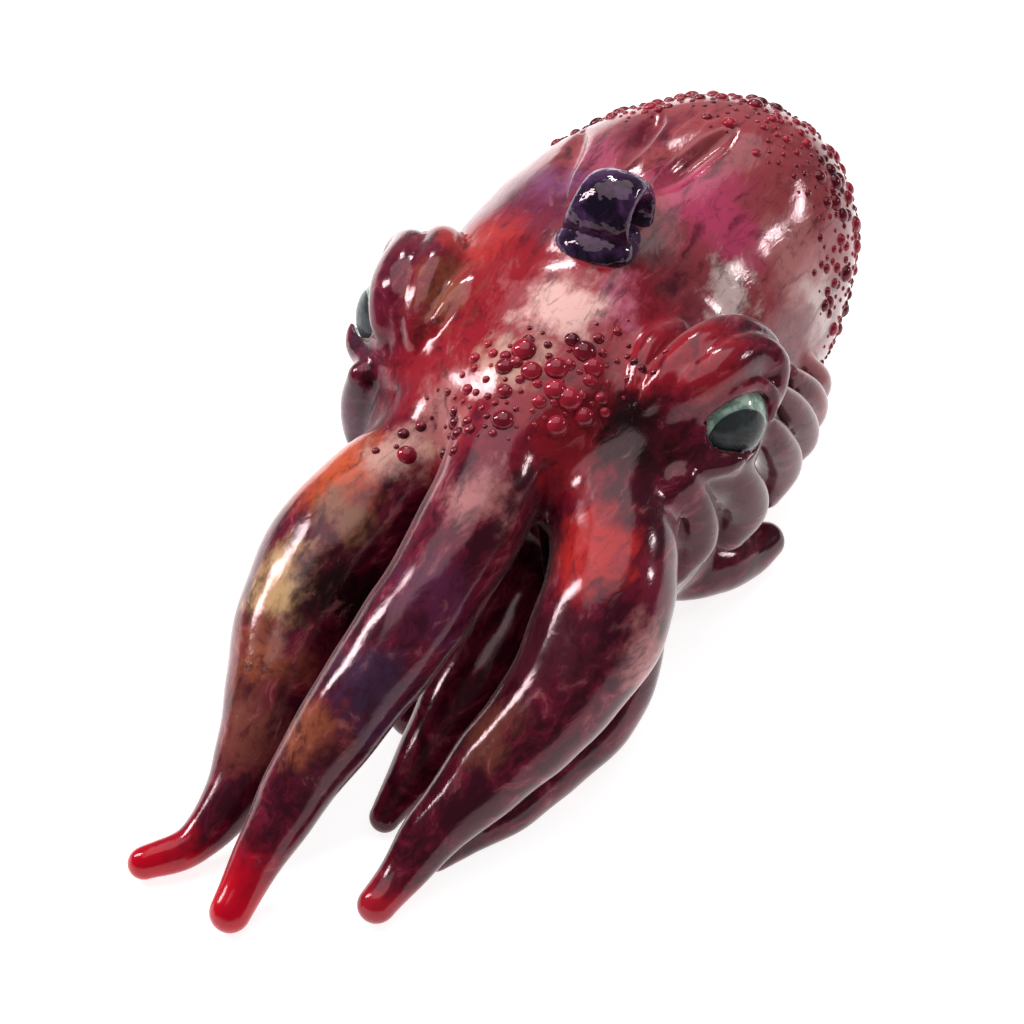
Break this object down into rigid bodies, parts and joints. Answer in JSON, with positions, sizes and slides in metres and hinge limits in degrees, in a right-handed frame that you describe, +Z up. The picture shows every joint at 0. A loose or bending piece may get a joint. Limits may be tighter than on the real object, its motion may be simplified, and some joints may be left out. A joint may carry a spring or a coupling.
{
  "type": "glass octopus ornament",
  "caption": "Hanging octopus ornament in fused coloured glass, with a blown mantle, curling arms, hooded eyes, raised dots and a loop for a cord.",
  "frame": {"origin": "centre of the footprint, on the surface that the ornament lies on", "axes": "-Y towards the arm tips, +Y towards the rear of the mantle, +X to the right seen from the arms' end, +Z up"},
  "size_m": [0.0514, 0.1252, 0.0467],
  "materials": {
    "mantle_glass": "fire-polished magenta, violet and smoky glass under a clear casing",
    "head_glass": "fire-polished striking red glass",
    "arm_glass": "fire-polished wine red and amber glass, clearer ruby at the tips",
    "eye_glass": "opaque pale celadon glass",
    "pupil_glass": "opaque blue-black glass",
    "clear_glass": "clear fire-polished glass",
    "lid_glass": "fire-polished dark wine red glass",
    "gill_glass": "fire-polished smoky mauve glass",
    "loop_glass": "fire-polished near-black amethyst glass",
    "dot_glass": "fire-polished garnet glass"
  },
  "bodies": {
    "root": {"mantle_shell": "mantle_glass", "head_shell": "head_glass", "left_eye_mound": "head_glass", "right_eye_mound": "head_glass", "left_cheek": "gill_glass", "right_cheek": "gill_glass", "left_eye_core": "eye_glass", "right_eye_core": "eye_glass", "left_pupil": "pupil_glass", "right_pupil": "pupil_glass", "left_eye_cap": "clear_glass", "right_eye_cap": "clear_glass", "left_upper_lid": "lid_glass", "right_upper_lid": "lid_glass", "left_lower_lid": "gill_glass", "right_lower_lid": "gill_glass", "left_brow": "lid_glass", "right_brow": "lid_glass", "left_gills": "gill_glass", "right_gills": "gill_glass", "hanging_loop": "loop_glass", "loop_pad": "loop_glass", "mantle_dots_band": "dot_glass", "forehead_dots_patch": "dot_glass", "left_upper_arm": "arm_glass", "top_arm": "arm_glass", "right_upper_arm": "arm_glass", "right_outer_arm": "arm_glass", "right_inner_arm": "arm_glass", "left_inner_arm": "arm_glass", "right_rear_arm": "arm_glass", "left_rear_arm": "arm_glass"}
  },
  "joints": []
}
